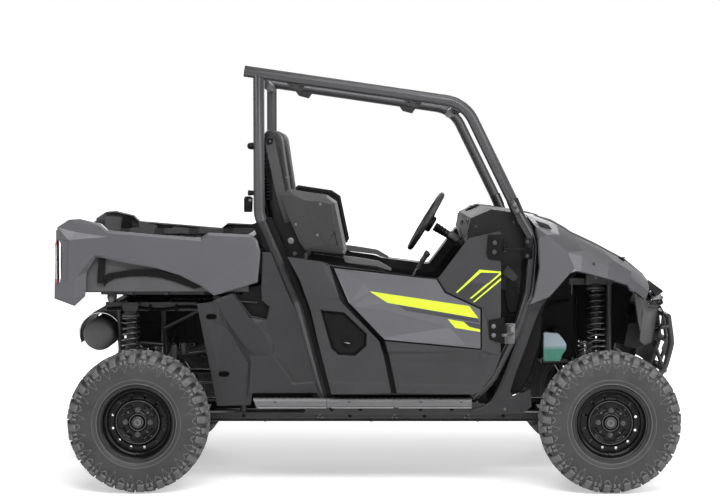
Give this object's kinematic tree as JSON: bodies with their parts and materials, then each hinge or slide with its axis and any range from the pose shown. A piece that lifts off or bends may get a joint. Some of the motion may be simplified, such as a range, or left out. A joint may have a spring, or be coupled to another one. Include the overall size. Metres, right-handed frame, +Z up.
{
  "type": "side-by-side utility vehicle",
  "caption": "Two-seat off-road utility vehicle with open roll cage, half doors, tilting cargo bed with drop tailgate and lugged tyres.",
  "frame": {"origin": "on the ground under the middle of the vehicle", "axes": "+X forward, +Y to the vehicle's left, +Z up"},
  "size_m": [2.8313, 1.58, 1.9008],
  "materials": {
    "frame_steel": "satin black",
    "cage_paint": "satin dark grey",
    "body_paint": "gloss mid grey",
    "black_plastic": "matt",
    "dark_plastic": "fine grained",
    "door_plastic": "fine grained with painted accents",
    "engine_metal": "painted black",
    "cast_metal": "black coated",
    "exhaust_steel": "matt",
    "shield_chrome": "polished edge",
    "shock_black": "gloss",
    "rod_steel": "machined",
    "seat_vinyl": "grained vinyl",
    "belt_webbing": "woven",
    "lamp_clear": "clear",
    "bottle_plastic": "translucent",
    "wheel_rubber": "soft grip",
    "tyre": "matt",
    "rim_black": "satin black"
  },
  "bodies": {
    "chassis": {"main_frame": "frame_steel", "side_rails": "frame_steel", "rear_subframe": "frame_steel", "front_subframe": "frame_steel", "hitch_receiver": "frame_steel", "skid_plate": "black_plastic", "engine_block": "engine_metal", "driveline": "engine_metal", "muffler": "exhaust_steel", "muffler_shield": "shield_chrome", "cage_right": "cage_paint", "cage_left": "cage_paint", "cage_crossbars": "cage_paint", "floor_tub": "black_plastic", "dashboard": "dark_plastic", "steering_column": "frame_steel", "seat_cushions": "seat_vinyl", "seat_backs": "seat_vinyl", "hip_bolsters": "dark_plastic", "seat_belts": "belt_webbing", "driver_controls": "black_plastic", "quarter_panels": "dark_plastic", "rocker_sills": "dark_plastic", "fender_guards": "dark_plastic", "front_fenders": "body_paint", "hood": "body_paint", "front_fascia": "dark_plastic", "headlights": "lamp_clear", "front_bumper": "frame_steel", "coolant_bottle": "bottle_plastic", "control_arms": "frame_steel", "shock_absorbers": "shock_black", "rear_knuckles": "cast_metal"},
    "bed": {"cargo_bed": "dark_plastic", "bed_side_panels": "body_paint", "taillights": "lamp_clear"},
    "tailgate": {"tailgate": "body_paint"},
    "right_door": {"door_right": "door_plastic"},
    "left_door": {"door_left": "door_plastic"},
    "steering_wheel": {"steering_wheel": "wheel_rubber"},
    "right_knuckle": {"knuckle_front_right": "cast_metal"},
    "left_knuckle": {"knuckle_front_left": "cast_metal"},
    "tie_rods": {"tie_rods": "rod_steel"},
    "front_right_wheel": {"tyre_front_right": "tyre", "rim_front_right": "rim_black"},
    "front_left_wheel": {"tyre_front_left": "tyre", "rim_front_left": "rim_black"},
    "rear_right_wheel": {"tyre_rear_right": "tyre", "rim_rear_right": "rim_black"},
    "rear_left_wheel": {"tyre_rear_left": "tyre", "rim_rear_left": "rim_black"}
  },
  "joints": [
    {"name": "steer_right", "type": "hinge", "parent": "chassis", "child": "right_knuckle", "pos_m": [1.06, -0.585, 0.3155], "axis": [0, 0, 1], "range_deg": [-33, 33]},
    {"name": "steer_left", "type": "hinge", "parent": "chassis", "child": "left_knuckle", "pos_m": [1.06, 0.585, 0.3155], "axis": [0, 0, 1], "range_deg": [-33, 33]},
    {"name": "steering_wheel_turn", "type": "hinge", "parent": "chassis", "child": "steering_wheel", "pos_m": [0.272, 0.33, 1.176], "axis": [-0.855, 0, 0.5185], "range_deg": [-264, 264]},
    {"name": "rack_slide", "type": "slide", "parent": "chassis", "child": "tie_rods", "axis": [0, -1, 0], "range_m": [-0.0576, 0.0576]},
    {"name": "roll_front_right", "type": "hinge", "parent": "right_knuckle", "child": "front_right_wheel", "pos_m": [1.06, -0.6885, 0.3155], "axis": [0, 1, 0], "continuous": true},
    {"name": "roll_front_left", "type": "hinge", "parent": "left_knuckle", "child": "front_left_wheel", "pos_m": [1.06, 0.6885, 0.3155], "axis": [0, 1, 0], "continuous": true},
    {"name": "roll_rear_right", "type": "hinge", "parent": "chassis", "child": "rear_right_wheel", "pos_m": [-1.04, -0.663, 0.3155], "axis": [0, 1, 0], "continuous": true},
    {"name": "roll_rear_left", "type": "hinge", "parent": "chassis", "child": "rear_left_wheel", "pos_m": [-1.04, 0.663, 0.3155], "axis": [0, 1, 0], "continuous": true},
    {"name": "right_door_swing", "type": "hinge", "parent": "chassis", "child": "right_door", "pos_m": [0.59, -0.706, 0.9], "axis": [0, 0, 1], "range_deg": [0, 68]},
    {"name": "left_door_swing", "type": "hinge", "parent": "chassis", "child": "left_door", "pos_m": [0.59, 0.706, 0.9], "axis": [0, 0, -1], "range_deg": [0, 68]},
    {"name": "bed_tilt", "type": "hinge", "parent": "chassis", "child": "bed", "pos_m": [-1.2, 0, 0.838], "axis": [0, -1, 0], "range_deg": [0, 40]},
    {"name": "tailgate_drop", "type": "hinge", "parent": "bed", "child": "tailgate", "pos_m": [-1.398, 0, 0.908], "axis": [0, -1, 0], "range_deg": [0, 90]}
  ],
  "couplings": [
    {"joint": "steer_left", "follows": "steer_right", "ratio": 1},
    {"joint": "steering_wheel_turn", "follows": "steer_right", "ratio": 8},
    {"joint": "rack_slide", "follows": "steer_right", "m_per_rad": 0.1}
  ]
}
